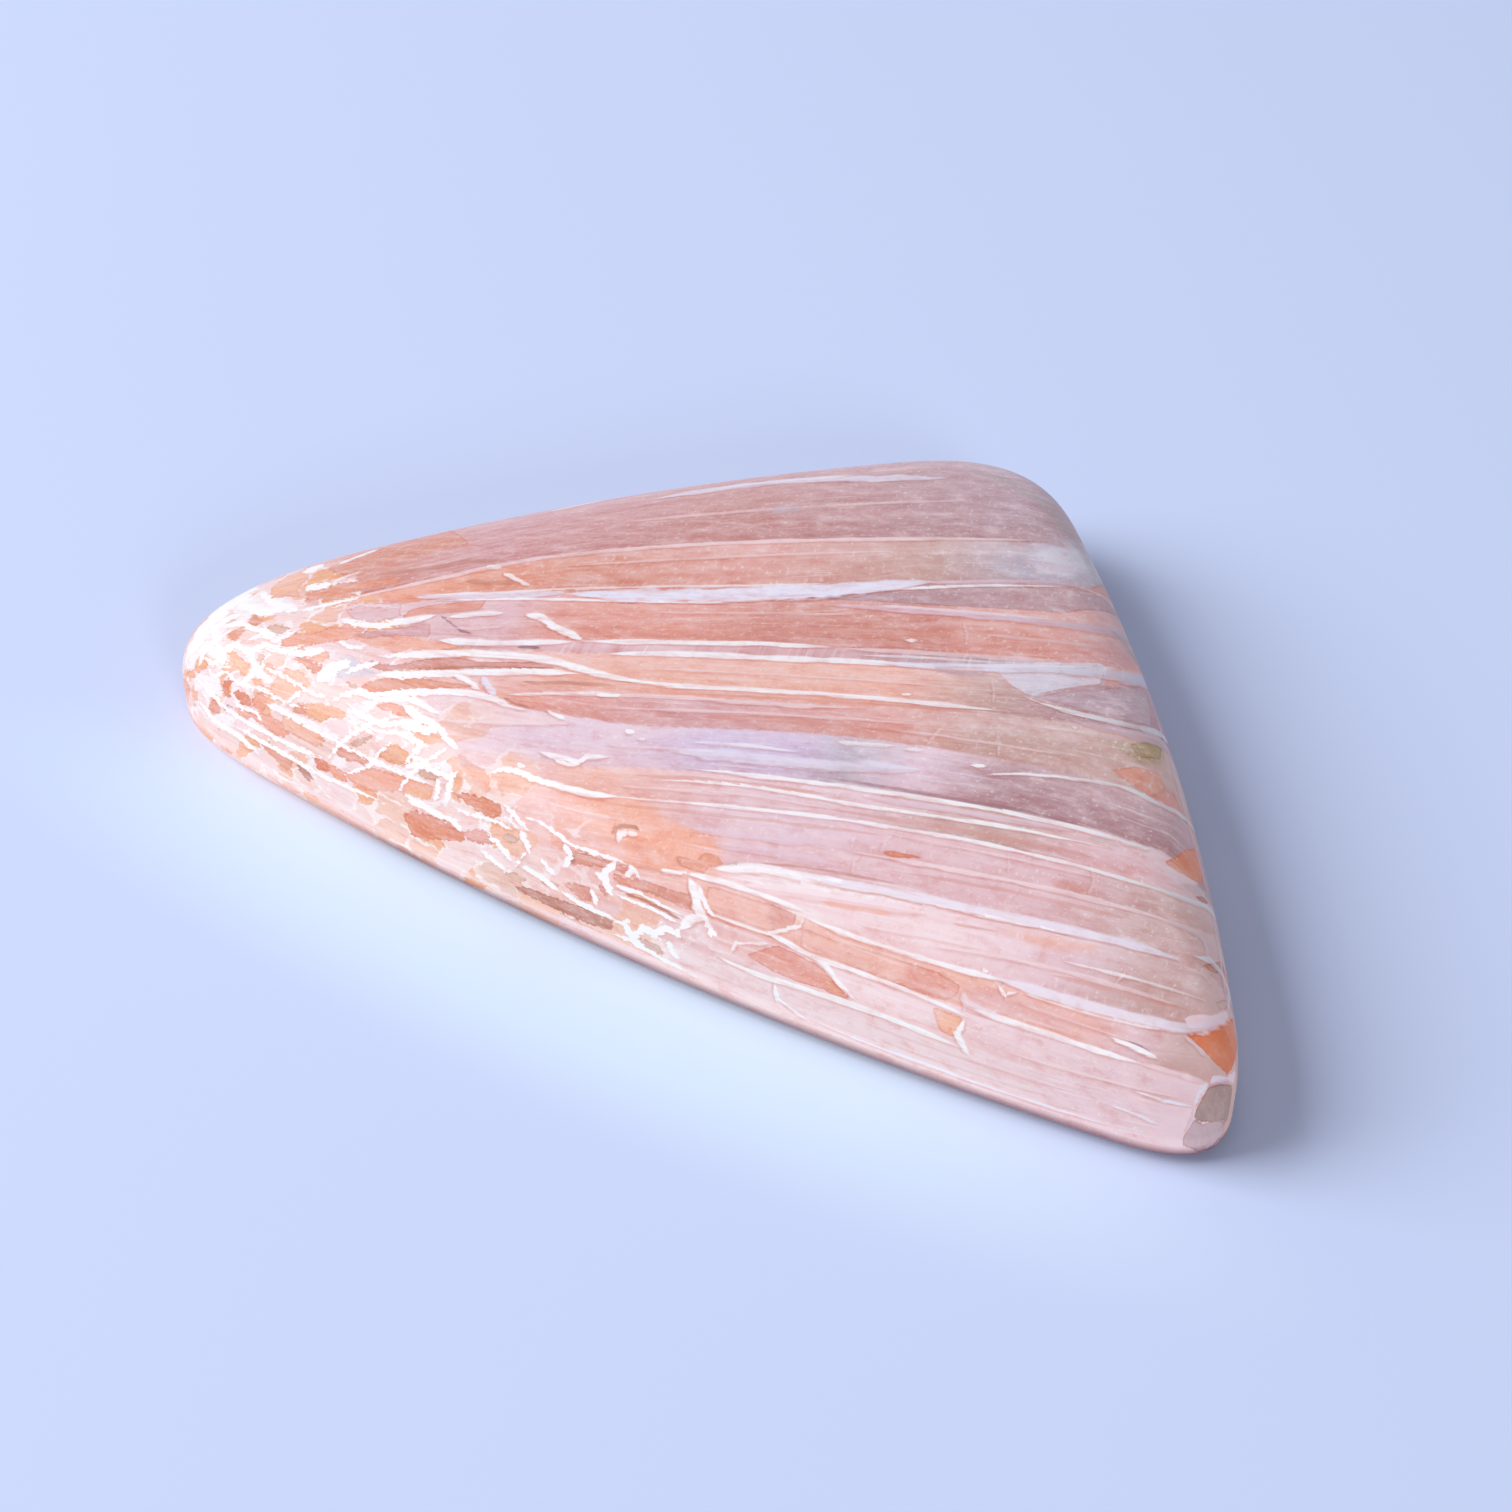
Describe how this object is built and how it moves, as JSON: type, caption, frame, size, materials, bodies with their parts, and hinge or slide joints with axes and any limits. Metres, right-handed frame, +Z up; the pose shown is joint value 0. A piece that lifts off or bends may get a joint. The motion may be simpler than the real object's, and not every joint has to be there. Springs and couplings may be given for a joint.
{
  "type": "scolecite cabochon",
  "caption": "Polished triangular cabochon of pink scolecite with a shallow dome, steep shoulders, rounded corners, a low girdle and a flat, bevelled back to set or lay down.",
  "frame": {"origin": "on the flat back, under the middle of the stone's plan", "axes": "+Z up from the flat back through the dome, +X along the long side from the blunt tip to the sharp heel, +Y from the long side towards the third corner, the apex"},
  "size_m": [0.0378, 0.0248, 0.0058],
  "materials": {
    "scolecite": "polished fibrous stone, slightly translucent"
  },
  "bodies": {
    "root": {"cabochon": "scolecite"}
  },
  "joints": []
}
